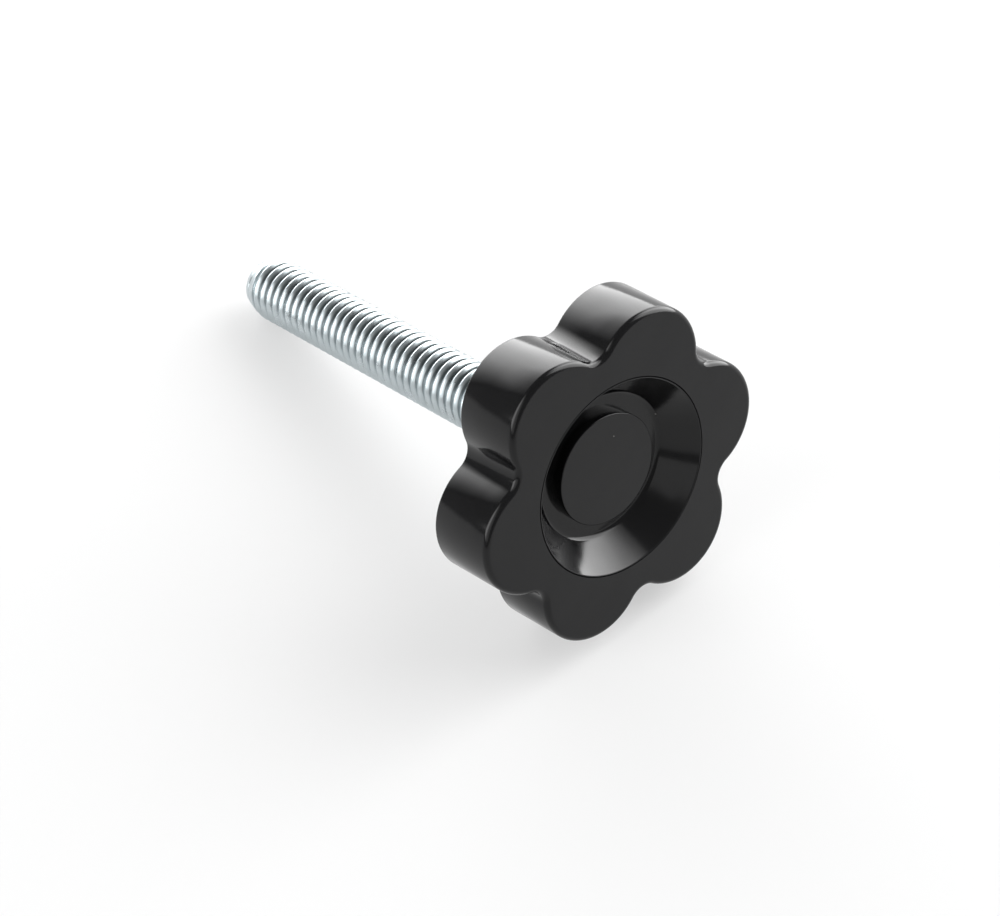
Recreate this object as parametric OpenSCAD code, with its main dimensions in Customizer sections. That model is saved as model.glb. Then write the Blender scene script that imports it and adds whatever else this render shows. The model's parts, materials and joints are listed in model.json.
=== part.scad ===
// Hand knob with six rounded lobes, moulded in plastic round the hexagon head of a steel screw.
// It lies as it comes to rest: on the back edges of two lobes and the tip of the stud.
// Millimetres. +Z is up and the stud runs toward +Y. The origin is on the floor, under the middle.

/* [Lobes] */
// Number of lobes round the knob
lobe_count = 6; // [5:1:7]
// Diameter over the lobes, at the back face
knob_d = 30; // [28:0.5:34]
// Thickness of the lobes
knob_h = 6.5; // [6:0.25:9]
// Radius of one lobe, at the back face
lobe_r = 5.5; // [5.2:0.1:6]
// Radius of the hollow between two lobes, at the back face
hollow_r = 1.75; // [1.5:0.05:2.5]
// Lean of the moulded side walls, in degrees
draft = 1; // [0.5:0.25:2]
// Rounding of the edge round the front face
front_edge_r = 0.5; // [0.3:0.05:0.8]
// Rounding of the edge round the back face
back_edge_r = 0.2; // [0.1:0.05:0.4]

/* [Front dish] */
// Diameter of the dish at the front face
dish_d = 17.6; // [17:0.1:18.4]
// Diameter of the dish's flat floor
dish_floor_d = 13.2; // [12.4:0.1:14]
// Depth of the dish
dish_depth = 3; // [2:0.1:3.2]
// Diameter of the raised disc in the dish
disc_d = 10.1; // [9:0.1:11]
// Height of the raised disc over the dish's floor
disc_h = 1.05; // [0.6:0.05:1.6]
// Break on the dish's rim and on the disc's top edge
fine_edge = 0.12; // [0.08:0.01:0.2]

/* [Hub] */
// Diameter of the hub behind the lobes, at its end
hub_d = 13.6; // [13.2:0.1:16]
// Length of the hub
hub_len = 5.25; // [4.5:0.25:8]
// Rounding of the hub's end
hub_edge_r = 0.4; // [0.2:0.05:0.6]

/* [Stud] */
// Diameter over the thread
stud_d = 6; // [5.5:0.1:6]
// Length of stud behind the hub
stud_len = 40; // [25:1:60]
// Diameter of the tip's end face
tip_d = 3.6; // [3:0.1:4.2]
// Length of the steep chamfer at the tip
tip_len = 0.7; // [0.5:0.1:1]
// Diameter where the first thread starts to rise
lead_d = 4.9; // [4.5:0.1:5.2]
// Length over which the thread rises to its full diameter
lead_len = 2; // [1:0.1:3]
// Diameter of the unthreaded neck inside the hub
neck_d = 5.3; // [5:0.1:5.4]
// Width of the screw's hexagon head, across flats
hex_flats = 10; // [8:0.5:10]
// Height of the screw's hexagon head
hex_h = 4; // [3:0.25:4]
// Plastic between the dish's floor and the hexagon head
hex_cover = 1; // [0.8:0.1:1.4]

/* [Hidden] */
$fn = 96;
// Cutters run this far past the faces that they open
over = 1;
// The plastic is moulded straight onto the steel, so the socket takes the screw's own size
moulded_gap = 0;
// Cutters of the hollows stop this far short of the lobes, so that no two walls graze each other
graze_gap = 0.005;
// Extra turn of each lobe's wall, hidden inside the core
lobe_tuck = 8;
// Flat steps in the front edge's rounding and in the back edge's
front_steps = 5;
back_steps = 3;

lobe_pitch = 360 / lobe_count;
lobe_at = knob_d / 2 - lobe_r;
// Two lobes stand at equal angles either side of straight down, so that both touch the floor
first_lobe = 270 + lobe_pitch / 2;
// A hollow's axis lies where its circle touches both neighbouring lobes
axis_gap = lobe_r + hollow_r;
half_chord = lobe_at * sin(lobe_pitch / 2);
hollow_at = lobe_at * cos(lobe_pitch / 2) + sqrt(axis_gap * axis_gap - half_chord * half_chord);
// Half the turn of a lobe's wall, from its outermost line to where a hollow takes over
lobe_half = asin(half_chord / axis_gap) + lobe_pitch / 2;

// The core's side runs from inside a lobe, through the line where lobe and hollow meet, into the hollow
core_lobe_at = lobe_at + lobe_r / 10;
meet = [lobe_at + lobe_r * cos(lobe_half), lobe_r * sin(lobe_half)];
core_run = meet - [core_lobe_at, 0];
core_reach = core_lobe_at * tan(lobe_pitch / 2) / (core_run.y - core_run.x * tan(lobe_pitch / 2));
core_hollow_at = norm([core_lobe_at, 0] + core_reach * core_run);

// Centres of the edge roundings, measured from the lobe's axis
front_arc_x = lobe_r - (knob_h - front_edge_r) * tan(draft) - front_edge_r / cos(draft);
back_arc_x = lobe_r - back_edge_r * tan(draft) - back_edge_r / cos(draft);

// Points on an arc, from one angle to another
function arc(x, y, r, from, to, steps) =
    [for (i = [0 : steps]) let (a = from + (to - from) * i / steps) [x + r * cos(a), y + r * sin(a)]];

// The wall of a lobe in section, from its back edge to its front edge
wall = concat(
    arc(back_arc_x, back_edge_r, back_edge_r, -90, draft, back_steps),
    arc(front_arc_x, knob_h - front_edge_r, front_edge_r, draft, 90, front_steps)
);

// Heights run from the lobes' back face, with the front face up
dish_z = knob_h - dish_depth;
disc_z = dish_z + disc_h;
hex_z = dish_z - hex_cover - hex_h;
tip_z = -hub_len - stud_len;
// The thread runs out at 45 degrees, just inside the hub
runout = (stud_d - neck_d) / 2;
hex_corners = hex_flats / cos(30);

// At rest the knob tips about the lobes' back edges until the first corner of the stud meets the floor
rest_lobe = lobe_at * cos(lobe_pitch / 2) + back_arc_x;
function touch_tilt(behind, r) =
    atan2(rest_lobe - r, behind + back_edge_r)
    + asin(back_edge_r / norm([rest_lobe - r, behind + back_edge_r]));
rest_tilt = min(
    touch_tilt(-tip_z - tip_len - lead_len, stud_d / 2),
    touch_tilt(-tip_z - tip_len, lead_d / 2),
    touch_tilt(-tip_z, tip_d / 2)
);
rest_z = rest_lobe * cos(rest_tilt) + back_edge_r * (1 - sin(rest_tilt));
front_y = -(knob_h - front_edge_r) * cos(rest_tilt) - front_edge_r
    - (lobe_at * cos(lobe_pitch / 2) + front_arc_x) * sin(rest_tilt);
tip_y = -tip_z * cos(rest_tilt) + tip_d / 2 * sin(rest_tilt);

// Lays down what is modelled with its face up
module at_rest() {
    translate([0, -(front_y + tip_y) / 2, rest_z])
        rotate([90 - rest_tilt, 0, 0])
            children();
}

module lobe() {
    rotate([0, 0, -lobe_half - lobe_tuck])
        rotate_extrude(angle = 2 * (lobe_half + lobe_tuck))
            polygon(concat([[0, 0]], wall, [[0, knob_h]]));
}

// The lobe's wall turned round and swept about the hollow's axis, so that the two walls run together
module hollow_space() {
    facing = [for (p = wall) [axis_gap - p.x - graze_gap, p.y]];
    first = facing[0];
    last = facing[len(facing) - 1];
    rotate_extrude()
        polygon(concat(
            [[0, -over], [first.x, -over]],
            facing,
            [[last.x, knob_h + over], [0, knob_h + over]]
        ));
}

module core() {
    linear_extrude(knob_h)
        polygon([
            for (i = [0 : 2 * lobe_count - 1])
                let (a = first_lobe + i * lobe_pitch / 2, r = i % 2 == 0 ? core_lobe_at : core_hollow_at)
                    [r * cos(a), r * sin(a)]
        ]);
}

module lobed_body() {
    difference() {
        union() {
            core();
            for (i = [0 : lobe_count - 1])
                rotate([0, 0, first_lobe + i * lobe_pitch])
                    translate([lobe_at, 0, 0])
                        lobe();
        }
        for (i = [0 : lobe_count - 1])
            rotate([0, 0, first_lobe + (i + 1 / 2) * lobe_pitch])
                translate([hollow_at, 0, 0])
                    hollow_space();
    }
}

// What the dish leaves empty, round the raised disc
module dish_space() {
    rotate_extrude()
        polygon([
            [0, disc_z],
            [disc_d / 2 - fine_edge, disc_z],
            [disc_d / 2, disc_z - fine_edge],
            [disc_d / 2, dish_z],
            [dish_floor_d / 2, dish_z],
            [dish_d / 2 - fine_edge / 2, knob_h - fine_edge],
            [dish_d / 2 + fine_edge, knob_h],
            [dish_d / 2 + fine_edge, knob_h + over],
            [0, knob_h + over]
        ]);
}

// Drafted hub with a rounded end, carried up into the lobes
module hub() {
    rotate_extrude()
        polygon(concat(
            [[0, -hub_len]],
            arc(hub_d / 2 - hub_edge_r, hub_edge_r - hub_len, hub_edge_r, -90, 0, front_steps),
            [
                [hub_d / 2 + (hub_len - hub_edge_r) * tan(draft), 0],
                [hub_d / 2, dish_z / 2],
                [0, dish_z / 2]
            ]
        ));
}

// The screw's head and the neck inside the hub, for the steel and for its socket in the plastic
module screw_root(gap) {
    translate([0, 0, hex_z - gap])
        cylinder(d = hex_corners + 2 * gap, h = hex_h + 2 * gap, $fn = 6);
    rotate_extrude()
        polygon([
            [0, -hub_len],
            [stud_d / 2 + gap, -hub_len],
            [neck_d / 2 + gap, runout - hub_len],
            [neck_d / 2 + gap, hex_z + hex_h / 2],
            [0, hex_z + hex_h / 2]
        ]);
}

module free_stud() {
    rotate_extrude()
        polygon([
            [0, tip_z],
            [tip_d / 2, tip_z],
            [lead_d / 2, tip_z + tip_len],
            [stud_d / 2, tip_z + tip_len + lead_len],
            [stud_d / 2, -hub_len],
            [0, -hub_len]
        ]);
}

module knob_head() {
    color("#1c1c1e")
        at_rest()
            difference() {
                union() {
                    lobed_body();
                    hub();
                }
                dish_space();
                screw_root(moulded_gap);
            }
}

module threaded_stud() {
    color("#c9ccd1")
        at_rest() {
            screw_root(0);
            free_stud();
        }
}

knob_head();
threaded_stud();
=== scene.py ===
import bmesh
import bpy
import json
import math
from mathutils import Matrix, Vector


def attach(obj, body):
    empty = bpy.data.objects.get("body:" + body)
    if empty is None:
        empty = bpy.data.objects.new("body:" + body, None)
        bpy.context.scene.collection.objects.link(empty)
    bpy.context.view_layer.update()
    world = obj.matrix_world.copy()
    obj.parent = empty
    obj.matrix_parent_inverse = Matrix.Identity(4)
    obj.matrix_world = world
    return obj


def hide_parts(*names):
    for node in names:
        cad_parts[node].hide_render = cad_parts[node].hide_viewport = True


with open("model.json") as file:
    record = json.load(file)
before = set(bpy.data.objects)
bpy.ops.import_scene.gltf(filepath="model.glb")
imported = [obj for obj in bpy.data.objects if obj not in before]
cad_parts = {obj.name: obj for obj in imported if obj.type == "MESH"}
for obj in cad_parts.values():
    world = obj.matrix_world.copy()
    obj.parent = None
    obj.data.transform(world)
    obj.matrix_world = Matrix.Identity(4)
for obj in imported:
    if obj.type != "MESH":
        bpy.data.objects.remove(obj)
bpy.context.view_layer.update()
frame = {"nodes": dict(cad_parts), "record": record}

scene = bpy.context.scene
scene.view_settings.view_transform = "Standard"
mm = 0.001
near = 1e-3              # mm within which two places count as one
print("frame loaded:", sorted(frame["nodes"]))

# the stud's mount gives the line that the whole knob is built on
mounts = {m["name"]: m for m in frame["record"]["mounts"]}
studAxis = Vector(mounts["stud"]["axis"]).normalized()
studUp = (Vector((0, 0, 1)) - studAxis * studAxis.z).normalized()    # up, square to the stud
studRadius = mounts["stud"]["dims"]["r_mm"]
fullThread = mounts["stud"]["dims"]["length_mm"]
hubEnd = Vector(mounts["stud"]["pos_m"]) - studAxis * fullThread / 2 * mm

head = {
    "lobes": 6,
    "diameter": 30.0,        # over the lobes, at the back
    "thickness": 6.5,
    "lobeRadius": 5.5,
    "hollowRadius": 1.75,
    "draft": 1.0,            # degrees
    "frontRound": 0.5,
    "backRound": 0.2,
    "dishDiameter": 17.6,
    "dishFloor": 13.2,
    "dishDepth": 3.0,
    "discDiameter": 10.1,
    "discHeight": 1.05,
    "hubDiameter": 13.6,
    "hubLength": 5.25,
    "hubRound": 0.4,
    "rimRound": 0.06,
    "rimLine": 0.1,          # the fine line that the mould's core leaves round the dish
    "rimLineDepth": 0.12,
    "rimLineGap": 0.08,
    "floorRound": 0.3,
    "discRound": 0.1,
    "socketDepth": 1.5,      # how far the stud's own mesh runs into the hub
    "lobeSteps": 20,
    "hollowSteps": 10,
    "frontSteps": 7,
    "edgeSteps": 4,
}

# face-up knob, in mm from the middle of the lobes' back face, to its place in the frame
faceUp = -studAxis
across = Vector((1, 0, 0))
knobPlace = Matrix((across, faceUp.cross(across), faceUp)).transposed().to_4x4()
knobPlace.translation = hubEnd - studAxis * head["hubLength"] * mm
knobPlace = knobPlace @ Matrix.Scale(mm, 4)


def linear(hexColour):
    channels = [int(hexColour[i:i + 2], 16) / 255 for i in (1, 3, 5)]
    return [c / 12.92 if c <= 0.04045 else ((c + 0.055) / 1.055) ** 2.4 for c in channels] + [1]


def addNode(material, kind, links=None, **settings):
    tree = material.node_tree
    node = tree.nodes.new(kind)
    for key, value in settings.items():
        setattr(node, key, value)
    for socket, source in (links or {}).items():
        if hasattr(source, "is_output"):
            tree.links.new(source, node.inputs[socket])
        else:
            node.inputs[socket].default_value = source
    return node


def newMaterial(name):
    material = bpy.data.materials.new(name)
    material.use_nodes = True
    material.node_tree.nodes.clear()
    return material


# Phenolic, compression moulded: near black, polished by the mould, with slow waves in the
# polish, faint flow and a few specks of dust
def makePhenolic():
    look = {
        "black": "#0b0b0c",
        "flowBlack": "#101011",
        "dust": "#6c6c6a",
        "flowMm": 4.0,
        "flowDetail": 1.0,
        "polishMm": 1.6,
        "polishDetail": 4.0,
        "dustMm": 3.4,
        "dustSize": 0.024,       # share of a speck's cell
        "smooth": 0.09,
        "dull": 0.17,
        "waveDepthMm": 0.05,
        "skinDepthMm": 0.001,
        "ior": 1.34,             # matched to the object, which reflects less than clean phenolic
    }
    m = newMaterial("phenolicMoulded")
    coords = addNode(m, "ShaderNodeTexCoord").outputs["Object"]
    flow = addNode(m, "ShaderNodeTexNoise", {
        "Vector": coords, "Scale": 1 / (look["flowMm"] * mm), "Detail": look["flowDetail"],
    }).outputs["Fac"]
    blacks = addNode(m, "ShaderNodeMix", {
        "Factor": flow, "A": linear(look["black"]), "B": linear(look["flowBlack"]),
    }, data_type="RGBA").outputs["Result"]
    specks = addNode(m, "ShaderNodeTexVoronoi", {
        "Vector": coords, "Scale": 1 / (look["dustMm"] * mm), "Randomness": 1.0,
    }).outputs["Distance"]
    onSpeck = addNode(m, "ShaderNodeMath", {
        0: specks, 1: look["dustSize"],
    }, operation="LESS_THAN").outputs[0]
    colour = addNode(m, "ShaderNodeMix", {
        "Factor": onSpeck, "A": blacks, "B": linear(look["dust"]),
    }, data_type="RGBA").outputs["Result"]
    polish = addNode(m, "ShaderNodeTexNoise", {
        "Vector": coords, "Scale": 1 / (look["polishMm"] * mm), "Detail": look["polishDetail"],
    }).outputs["Fac"]
    rough = addNode(m, "ShaderNodeMapRange", {
        "Value": polish, "To Min": look["smooth"], "To Max": look["dull"],
    }).outputs["Result"]
    waves = addNode(m, "ShaderNodeBump", {
        "Height": flow, "Strength": 1.0, "Distance": look["waveDepthMm"] * mm,
    }).outputs["Normal"]
    skin = addNode(m, "ShaderNodeBump", {
        "Height": polish, "Strength": 1.0, "Distance": look["skinDepthMm"] * mm, "Normal": waves,
    }).outputs["Normal"]
    shader = addNode(m, "ShaderNodeBsdfPrincipled", {
        "Base Color": colour, "Roughness": rough, "Normal": skin, "IOR": look["ior"],
    })
    addNode(m, "ShaderNodeOutputMaterial", {"Surface": shader.outputs["BSDF"]})
    return m


# Steel, rolled thread, bright zinc plate: cool white with a fine uneven grain, and thin dark lines
# of painted shade in the roots, darker along one side
def makeZincPlate():
    look = {
        "bright": "#c9d1d4",
        "cloud": "#adb7ba",
        "paintedShade": "#272b2c",
        "shadeBand": (2.78, 2.92),     # mm from the axis, painted shade to clean
        "shadeTurn": 43.0,             # degrees round from straight up
        "shadeSide": (-1.8, 2.5),      # mm to that side of the axis, clean to painted shade
        "shadeRagged": 0.14,           # mm the painted shade's edge wanders
        "cloudMm": 1.5,
        "cloudDetail": 3.0,
        "grainMm": 0.5,              # coarser than real plate, so that it shows
        "grainDetail": 3.0,
        "grainDepthMm": 0.01,
        "shiny": 0.22,
        "cloudy": 0.36,
    }
    m = newMaterial("zincPlatedSteel")
    coords = addNode(m, "ShaderNodeTexCoord").outputs["Object"]
    cloud = addNode(m, "ShaderNodeTexNoise", {
        "Vector": coords, "Scale": 1 / (look["cloudMm"] * mm), "Detail": look["cloudDetail"],
    }).outputs["Fac"]
    plate = addNode(m, "ShaderNodeMix", {
        "Factor": cloud, "A": linear(look["bright"]), "B": linear(look["cloud"]),
    }, data_type="RGBA").outputs["Result"]
    fromHub = addNode(m, "ShaderNodeVectorMath", {
        0: coords, 1: hubEnd,
    }, operation="SUBTRACT").outputs["Vector"]
    offAxis = addNode(m, "ShaderNodeVectorMath", {
        0: fromHub, 1: studAxis,
    }, operation="CROSS_PRODUCT").outputs["Vector"]
    radius = addNode(m, "ShaderNodeVectorMath", {0: offAxis}, operation="LENGTH").outputs["Value"]
    ragged = addNode(m, "ShaderNodeMath", {
        0: cloud, 1: look["shadeRagged"] * mm, 2: radius,
    }, operation="MULTIPLY_ADD").outputs[0]
    # painted shade: the thread's roots are darkened in colour, as if shaded
    sunk = addNode(m, "ShaderNodeMapRange", {
        "Value": ragged,
        "From Min": (look["shadeBand"][0] + look["shadeRagged"] / 2) * mm,
        "From Max": (look["shadeBand"][1] + look["shadeRagged"] / 2) * mm,
        "To Min": 1.0,
        "To Max": 0.0,
    }).outputs["Result"]
    # the painted shade is strongest on the side turned this far from straight up
    towardsShade = Matrix.Rotation(math.radians(look["shadeTurn"]), 3, studAxis) @ studUp
    aside = addNode(m, "ShaderNodeVectorMath", {
        0: fromHub, 1: towardsShade,
    }, operation="DOT_PRODUCT").outputs["Value"]
    shadedSide = addNode(m, "ShaderNodeMapRange", {
        "Value": aside, "From Min": look["shadeSide"][0] * mm, "From Max": look["shadeSide"][1] * mm,
    }).outputs["Result"]
    along = addNode(m, "ShaderNodeVectorMath", {
        0: fromHub, 1: studAxis,
    }, operation="DOT_PRODUCT").outputs["Value"]
    threaded = addNode(m, "ShaderNodeMath", {
        0: along, 1: fullThread * mm,
    }, operation="LESS_THAN").outputs[0]
    inRoots = addNode(m, "ShaderNodeMath", {0: sunk, 1: threaded}, operation="MULTIPLY").outputs[0]
    paintedShadeMask = addNode(m, "ShaderNodeMath", {0: inRoots, 1: shadedSide}, operation="MULTIPLY").outputs[0]
    # painted shade mixed into the plate's colour in the roots
    colour = addNode(m, "ShaderNodeMix", {
        "Factor": paintedShadeMask, "A": plate, "B": linear(look["paintedShade"]),
    }, data_type="RGBA").outputs["Result"]
    rough = addNode(m, "ShaderNodeMapRange", {
        "Value": cloud, "To Min": look["shiny"], "To Max": look["cloudy"],
    }).outputs["Result"]
    grain = addNode(m, "ShaderNodeTexNoise", {
        "Vector": coords, "Scale": 1 / (look["grainMm"] * mm), "Detail": look["grainDetail"],
    }).outputs["Fac"]
    skin = addNode(m, "ShaderNodeBump", {
        "Height": grain, "Strength": 1.0, "Distance": look["grainDepthMm"] * mm,
    }).outputs["Normal"]
    shader = addNode(m, "ShaderNodeBsdfPrincipled", {
        "Base Color": colour, "Metallic": 1.0, "Roughness": rough, "Normal": skin,
    })
    addNode(m, "ShaderNodeOutputMaterial", {"Surface": shader.outputs["BSDF"]})
    return m


# flat faces are shaded flat right up to the rounded edges around them; both limits are cosines
def keepFlats(mesh, steepest):
    flattest = 1 - 1e-5
    directions = [Vector()] * len(mesh.loops)
    for side in (studAxis, -studAxis):
        flats = [p for p in mesh.polygons if p.normal.dot(side) > flattest]
        flatVerts = {v for p in flats for v in p.vertices}
        for p in mesh.polygons:
            if p.normal.dot(side) < steepest:
                continue
            for corner, vertex in zip(p.loop_indices, p.vertices):
                if vertex in flatVerts:
                    directions[corner] = side
    mesh.normals_split_custom_set(directions)


def pieceFromMesh(bm, name, node, material):
    sharpAngle = 30.0        # degrees, past which an edge stays crisp
    bmesh.ops.recalc_face_normals(bm, faces=bm.faces)
    bmesh.ops.transform(bm, matrix=knobPlace, verts=bm.verts)
    mesh = bpy.data.meshes.new(name)
    bm.to_mesh(mesh)
    bm.free()
    mesh.materials.append(material)
    mesh.shade_smooth()
    mesh.set_sharp_from_angle(angle=math.radians(sharpAngle))
    keepFlats(mesh, math.cos(math.radians(sharpAngle)))
    piece = bpy.data.objects.new(name, mesh)
    scene.collection.objects.link(piece)
    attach(piece, "root")
    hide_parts(node)
    print(name + ":", len(mesh.polygons), "faces")


def spinProfile(bm, points, steps):
    verts = [bm.verts.new((r, 0, z)) for r, z in points]
    edges = [bm.edges.new(pair) for pair in zip(verts, verts[1:])]
    bmesh.ops.spin(
        bm, geom=verts + edges, cent=(0, 0, 0), axis=(0, 0, 1),
        angle=2 * math.pi, steps=steps, use_merge=True,
    )


def flatEdges(bm, height):
    return [e for e in bm.edges if all(abs(v.co.z - height) < near for v in e.verts)]


def ringEdges(bm, radius, height):
    level = flatEdges(bm, height)
    return [e for e in level if all(abs(v.co.xy.length - radius) < near for v in e.verts)]


def roundEdges(bm, edges, offset, segments):
    bmesh.ops.bevel(
        bm, geom=edges, offset=offset, offset_type="OFFSET", segments=segments,
        profile=0.5, affect="EDGES", material=-1, clamp_overlap=True,
    )


# joins two rings of one plane: while one is lifted, both are sure to be read the same way round
def bridgeFlat(bm, outer, inner):
    lift = 1.0
    lifted = list({v for e in outer for v in e.verts})
    bmesh.ops.translate(bm, verts=lifted, vec=(0, 0, lift))
    bmesh.ops.bridge_loops(bm, edges=outer + inner)
    bmesh.ops.translate(bm, verts=lifted, vec=(0, 0, -lift))


# the outline of the lobes as one closed wire, each lobe tangent to the hollows beside it
def drawOutline(bm):
    h = head
    pitch = 2 * math.pi / h["lobes"]
    lobeAt = h["diameter"] / 2 - h["lobeRadius"]
    axisGap = h["lobeRadius"] + h["hollowRadius"]
    halfChord = lobeAt * math.sin(pitch / 2)
    hollowAt = lobeAt * math.cos(pitch / 2) + math.sqrt(axisGap ** 2 - halfChord ** 2)
    hollowTurn = math.asin(halfChord / axisGap)
    lobeTurn = hollowTurn + pitch / 2
    hollowAxis = Vector((math.cos(pitch / 2), math.sin(pitch / 2), 0)) * hollowAt

    # half a lobe: out along the lobe, back into the hollow
    start = bm.verts.new((h["diameter"] / 2, 0, 0))
    swept = bmesh.ops.spin(
        bm, geom=[start], cent=(lobeAt, 0, 0), axis=(0, 0, 1), angle=lobeTurn, steps=h["lobeSteps"],
    )
    last = [v for v in swept["geom_last"] if isinstance(v, bmesh.types.BMVert)]
    bmesh.ops.spin(
        bm, geom=last, cent=hollowAxis, axis=(0, 0, 1), angle=-hollowTurn, steps=h["hollowSteps"],
    )
    halfLobe = bm.verts[:] + bm.edges[:]
    bmesh.ops.mirror(bm, geom=halfLobe, matrix=Matrix.Identity(4), merge_dist=near, axis="Y")
    lobe = bm.verts[:] + bm.edges[:]
    bmesh.ops.spin(
        bm, geom=lobe, cent=(0, 0, 0), axis=(0, 0, 1), angle=2 * math.pi - pitch,
        steps=h["lobes"] - 1, use_duplicate=True,
    )
    bmesh.ops.remove_doubles(bm, verts=bm.verts, dist=near)
    # turned so that a hollow is at the foot, and two lobes stand on the floor
    footTurn = Matrix.Rotation(-math.pi / 2 + pitch / 2, 3, "Z")
    bmesh.ops.rotate(bm, verts=bm.verts, cent=(0, 0, 0), matrix=footTurn)


def buildHead(material):
    h = head
    bm = bmesh.new()
    drawOutline(bm)
    steps = len(bm.edges)
    backCap = bmesh.ops.contextual_create(bm, geom=bm.edges[:])["faces"]

    # the wall leans in by the draft, and both outlines are rounded while their caps are whole
    raised = bmesh.ops.extrude_face_region(bm, geom=backCap, use_keep_orig=True)["geom"]
    frontVerts = [v for v in raised if isinstance(v, bmesh.types.BMVert)]
    lean = 1 - h["thickness"] * math.tan(math.radians(h["draft"])) / (h["diameter"] / 2)
    bmesh.ops.translate(bm, verts=frontVerts, vec=(0, 0, h["thickness"]))
    bmesh.ops.scale(bm, verts=frontVerts, vec=(lean, lean, 1))
    bmesh.ops.recalc_face_normals(bm, faces=bm.faces)
    roundEdges(bm, flatEdges(bm, h["thickness"]), h["frontRound"], h["frontSteps"])
    roundEdges(bm, flatEdges(bm, 0), h["backRound"], h["edgeSteps"])
    caps = [f for f in bm.faces if len(f.verts) > 4]
    bmesh.ops.delete(bm, geom=caps, context="FACES_ONLY")
    frontLoop = flatEdges(bm, h["thickness"])
    backLoop = flatEdges(bm, 0)

    # dish with its raised disc, and the hub with the stud's socket
    rim = h["dishDiameter"] / 2
    floorAt = h["thickness"] - h["dishDepth"]
    floorRim = h["dishFloor"] / 2
    discTop = floorAt + h["discHeight"]
    discRim = h["discDiameter"] / 2
    lineInner = rim + h["rimLineGap"]
    lineOuter = lineInner + h["rimLine"]
    spinProfile(bm, [
        (lineOuter, h["thickness"]),
        ((lineInner + lineOuter) / 2, h["thickness"] - h["rimLineDepth"]),
        (lineInner, h["thickness"]),
        (rim, h["thickness"]),
        (floorRim, floorAt),
        (discRim, floorAt),
        (discRim, discTop),
        (0, discTop),
    ], steps)
    hubRim = h["hubDiameter"] / 2
    hubFoot = hubRim + h["hubLength"] * math.tan(math.radians(h["draft"]))
    hubBack = -h["hubLength"]
    socketEnd = hubBack + h["socketDepth"]
    spinProfile(bm, [
        (hubFoot, 0),
        (hubRim, hubBack),
        (studRadius, hubBack),
        (studRadius, socketEnd),
        (0, socketEnd),
    ], steps)
    bmesh.ops.remove_doubles(bm, verts=bm.verts, dist=near)
    bridgeFlat(bm, frontLoop, ringEdges(bm, lineOuter, h["thickness"]))
    bridgeFlat(bm, backLoop, ringEdges(bm, hubFoot, 0))
    bmesh.ops.recalc_face_normals(bm, faces=bm.faces)

    roundEdges(bm, ringEdges(bm, rim, h["thickness"]), h["rimRound"], h["edgeSteps"])
    roundEdges(bm, ringEdges(bm, floorRim, floorAt), h["floorRound"], h["edgeSteps"])
    roundEdges(bm, ringEdges(bm, discRim, discTop), h["discRound"], h["edgeSteps"])
    roundEdges(bm, ringEdges(bm, hubRim, hubBack), h["hubRound"], h["edgeSteps"])
    pieceFromMesh(bm, "lobedHead", "knob_head", material)


stud = {
    "pitch": 1.0,
    "crestRadius": 2.97,
    "crestFlat": 0.1,
    "roofDepth": 0.18,       # the crest's sloping sides, above the steep groove
    "roofAngle": 31.0,       # degrees from the axis
    "rootRadius": 2.5,
    "rootFlat": 0.04,
    "crestRound": 0.05,
    "length": 40.0,
    "tipRadius": 1.45,
    "tipLength": 0.7,
    "leadRadius": 2.35,
    "tipRound": 0.12,
    "turnSteps": 64,
    "roundSteps": 3,
}


# one pitch of the thread's section as a wire: root, groove wall, sloping crest, and the same back
def drawThread(bm, bottom):
    s = stud
    half = s["pitch"] / 2
    shoulder = half - s["crestFlat"] / 2 - s["roofDepth"] / math.tan(math.radians(s["roofAngle"]))
    rising = [
        (s["rootRadius"], s["rootFlat"] / 2),
        (s["crestRadius"] - s["roofDepth"], shoulder),
        (s["crestRadius"], half - s["crestFlat"] / 2),
    ]
    falling = [(r, s["pitch"] - along) for r, along in reversed(rising)]
    section = [(s["rootRadius"], 0)] + rising + falling + [(s["rootRadius"], s["pitch"])]
    verts = [bm.verts.new((r, 0, bottom + along)) for r, along in section]
    for pair in zip(verts, verts[1:]):
        bm.edges.new(pair)
    # shoulders and crest are rounded, the root stays sharp
    bmesh.ops.bevel(
        bm, geom=verts[2:-2], offset=s["crestRound"], offset_type="OFFSET", segments=s["roundSteps"],
        profile=0.5, affect="VERTICES", material=-1, clamp_overlap=True,
    )


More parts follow.
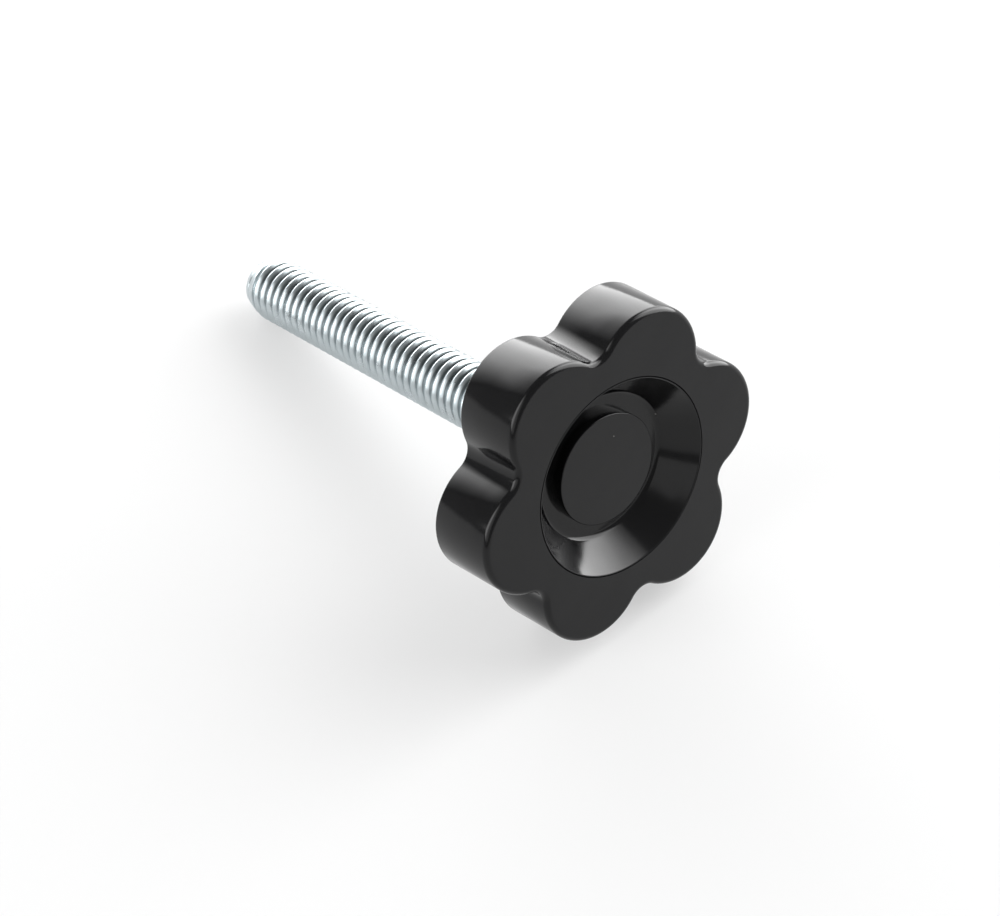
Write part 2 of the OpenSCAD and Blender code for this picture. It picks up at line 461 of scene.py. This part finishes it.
def buildStud(material):
    s = stud
    bm = bmesh.new()
    tipZ = -head["hubLength"] - s["length"]
    topZ = -head["hubLength"] + head["socketDepth"]
    spare = 2 * s["pitch"]      # turned past both ends, and cut off there
    drawThread(bm, tipZ - spare)
    bmesh.ops.spin(
        bm, geom=bm.verts[:] + bm.edges[:], cent=(0, 0, 0), axis=(0, 0, 1),
        dvec=(0, 0, s["pitch"] / s["turnSteps"]), angle=2 * math.pi, steps=s["turnSteps"],
    )
    # the turns double until they reach past the hub
    turns = 1
    while turns * s["pitch"] < topZ - tipZ + 2 * spare:
        copied = bmesh.ops.duplicate(bm, geom=bm.verts[:] + bm.edges[:] + bm.faces[:])["geom"]
        copiedVerts = [v for v in copied if isinstance(v, bmesh.types.BMVert)]
        bmesh.ops.translate(bm, verts=copiedVerts, vec=(0, 0, turns * s["pitch"]))
        turns *= 2
    bmesh.ops.remove_doubles(bm, verts=bm.verts, dist=near)
    for height, outward in ((tipZ, -1), (topZ, 1)):
        everything = bm.verts[:] + bm.edges[:] + bm.faces[:]
        bmesh.ops.bisect_plane(
            bm, geom=everything, plane_co=(0, 0, height), plane_no=(0, 0, outward), clear_outer=True,
        )

    # the chamfer and the lead take the crests down towards the tip
    leadLength = s["length"] - fullThread - s["tipLength"]
    for v in bm.verts:
        fromTip = v.co.z - tipZ
        onChamfer = min(1, fromTip / s["tipLength"])
        onLead = min(1, max(0, fromTip - s["tipLength"]) / leadLength)
        limit = s["tipRadius"] + (s["leadRadius"] - s["tipRadius"]) * onChamfer
        limit += (s["crestRadius"] - s["leadRadius"]) * onLead
        if v.co.xy.length > limit:
            v.co.xy *= limit / v.co.xy.length
    bmesh.ops.holes_fill(bm, edges=bm.edges, sides=0)
    bmesh.ops.recalc_face_normals(bm, faces=bm.faces)
    roundEdges(bm, flatEdges(bm, tipZ), s["tipRound"], s["roundSteps"])
    pieceFromMesh(bm, "rolledStud", "threaded_stud", material)


buildHead(makePhenolic())
buildStud(makeZincPlate())

studio = {
    "paper": "#868686",
    "paperLift": 0.5,         # brings the lit paper up to white for the eye and for reflections
    "floorSize": 6.0,
    "wallRadius": 0.6,
    "wallSteps": 36,
    "roomLow": 0.42,          # the dim room's brightness at eye level and overhead
    "roomHigh": 0.32,
}

# light walls: brightness by degrees round from +Y towards +X and by degrees up, from a foot that
# is "low" degrees up
lightWalls = {
    "backWall": {
        "strength": 8.0,
        "low": 1.0,
        "round": {-30: 0.0, -20: 0.18, -6: 0.53, 6: 0.82, 20: 0.96, 40: 0.97, 54: 0.7, 66: 0.5},
        "up": {34: 1.0, 44: 0.2, 50: 0.0},
    },
    "sideWall": {
        "strength": 11.0,
        "low": 1.0,
        "round": {66: 0.36, 80: 0.66, 89: 1.0, 104: 0.97, 114: 0.66, 126: 0.58, 138: 0.54, 146: 0.0},
        "up": {42: 1.0, 60: 0.33, 70: 0.0},
    },
    "leftWall": {
        "strength": 5.2,
        "low": 9.0,
        "round": {-135: 0.22, -112: 0.26, -98: 0.36, -88: 0.62, -78: 1.0, -60: 1.0, -50: 0.0},
        "up": {44: 1.0, 60: 0.35, 66: 0.0},
    },
}


def stageObject(bm, name, material):
    mesh = bpy.data.meshes.new(name)
    bm.to_mesh(mesh)
    bm.free()
    mesh.materials.append(material)
    thing = bpy.data.objects.new(name, mesh)
    scene.collection.objects.link(thing)


def heightAt(degreesUp):
    return studio["wallRadius"] * math.tan(math.radians(degreesUp))


def curvedPanel(fromRound, toRound, heights):
    bm = bmesh.new()
    begin = math.radians(90 - fromRound)
    foot = Vector((math.cos(begin), math.sin(begin), 0)) * studio["wallRadius"]
    ends = [bm.verts.new(foot + Vector((0, 0, z))) for z in heights]
    edge = bm.edges.new(ends)
    bmesh.ops.spin(
        bm, geom=ends + [edge], cent=(0, 0, 0), axis=(0, 0, 1),
        angle=-math.radians(toRound - fromRound), steps=studio["wallSteps"],
    )
    return bm


# pale paper: dull white that keeps the knob's soft shadow
def makePaper():
    m = newMaterial("palePaper")
    sheet = addNode(m, "ShaderNodeBsdfDiffuse", {
        "Color": linear(studio["paper"]),
    }).outputs["BSDF"]
    path = addNode(m, "ShaderNodeLightPath").outputs
    eyeOrGloss = addNode(m, "ShaderNodeMath", {
        0: path["Is Camera Ray"], 1: path["Is Glossy Ray"],
    }, operation="MAXIMUM").outputs[0]
    seen = addNode(m, "ShaderNodeMath", {
        0: eyeOrGloss, 1: path["Is Transmission Ray"],
    }, operation="MAXIMUM").outputs[0]
    lift = addNode(m, "ShaderNodeMath", {
        0: seen, 1: studio["paperLift"],
    }, operation="MULTIPLY").outputs[0]
    white = addNode(m, "ShaderNodeEmission", {"Strength": lift}).outputs["Emission"]
    both = addNode(m, "ShaderNodeAddShader", {0: sheet, 1: white}).outputs["Shader"]
    addNode(m, "ShaderNodeOutputMaterial", {"Surface": both})
    return m


# lamp cloth: white glow that fades towards its ends and upwards
def makeLampCloth(name, wall):
    m = newMaterial(name + "Cloth")
    middle = (min(wall["round"]) + max(wall["round"])) / 2
    top = heightAt(max(wall["up"]))
    coords = addNode(m, "ShaderNodeTexCoord").outputs["Object"]
    # turned so that the gradient is half way at the wall's middle
    turned = addNode(m, "ShaderNodeMapping", {
        "Vector": coords, "Rotation": (0, 0, math.radians(middle - 90)),
    }).outputs["Vector"]
    swing = addNode(m, "ShaderNodeTexGradient", {
        "Vector": turned,
    }, gradient_type="RADIAL").outputs["Fac"]
    roundStops = {0.5 + (middle - degrees) / 360: grey for degrees, grey in wall["round"].items()}
    height = addNode(m, "ShaderNodeSeparateXYZ", {0: coords}).outputs["Z"]
    share = addNode(m, "ShaderNodeMath", {0: height, 1: top}, operation="DIVIDE").outputs[0]
    upStops = {heightAt(degrees) / top: grey for degrees, grey in wall["up"].items()}
    glow = wall["strength"]
    for factor, stops in ((swing, roundStops), (share, upStops)):
        ramp = addNode(m, "ShaderNodeValToRGB", {"Fac": factor})
        elements = ramp.color_ramp.elements
        while len(elements) < len(stops):
            elements.new(0.5)    # the stops get their places below
        for element, (place, grey) in zip(elements, sorted(stops.items())):
            element.position = place
            element.color = (grey, grey, grey, 1)
        glow = addNode(m, "ShaderNodeMath", {
            0: glow, 1: ramp.outputs["Color"],
        }, operation="MULTIPLY").outputs[0]
    lamp = addNode(m, "ShaderNodeEmission", {"Strength": glow}).outputs["Emission"]
    addNode(m, "ShaderNodeOutputMaterial", {"Surface": lamp})
    return m


def makeRoom():
    room = bpy.data.worlds.new("dimRoom")
    room.use_nodes = True
    room.node_tree.nodes.clear()
    towards = addNode(room, "ShaderNodeTexCoord").outputs["Generated"]
    up = addNode(room, "ShaderNodeSeparateXYZ", {0: towards}).outputs["Z"]
    glow = addNode(room, "ShaderNodeMapRange", {
        "Value": up, "To Min": studio["roomLow"], "To Max": studio["roomHigh"],
    }).outputs["Result"]
    air = addNode(room, "ShaderNodeBackground", {"Strength": glow}).outputs["Background"]
    addNode(room, "ShaderNodeOutputWorld", {"Surface": air})
    return room


def buildStudio():
    floor = bmesh.new()
    bmesh.ops.create_grid(floor, x_segments=1, y_segments=1, size=studio["floorSize"] / 2)
    stageObject(floor, "paperFloor", makePaper())
    for name, wall in lightWalls.items():
        heights = heightAt(wall["low"]), heightAt(max(wall["up"]))
        panel = curvedPanel(min(wall["round"]), max(wall["round"]), heights)
        stageObject(panel, name, makeLampCloth(name, wall))
    scene.world = makeRoom()
    print("studio: paper floor,", len(lightWalls), "light walls and a dim room")


buildStudio()

shot = {
    "place": (-110.35, -138.66, 186.91),    # mm
    "towards": (0.44181, 0.52307, -0.72884),
    "roll": -1.45,                           # degrees
    "lens": 101.85,
    "sensor": 36.0,
    "nearest": 0.01,                         # m
}


def placeCamera():
    data = bpy.data.cameras.new("shot")
    data.lens = shot["lens"]
    data.sensor_width = shot["sensor"]
    data.clip_start = shot["nearest"]
    camera = bpy.data.objects.new("shot", data)
    scene.collection.objects.link(camera)
    aim = Vector(shot["towards"]).to_track_quat("-Z", "Y").to_matrix()
    turn = aim @ Matrix.Rotation(math.radians(shot["roll"]), 3, "Z")
    camera.matrix_world = Matrix.Translation(Vector(shot["place"]) * mm) @ turn.to_4x4()
    scene.camera = camera
    print("camera set")


placeCamera()
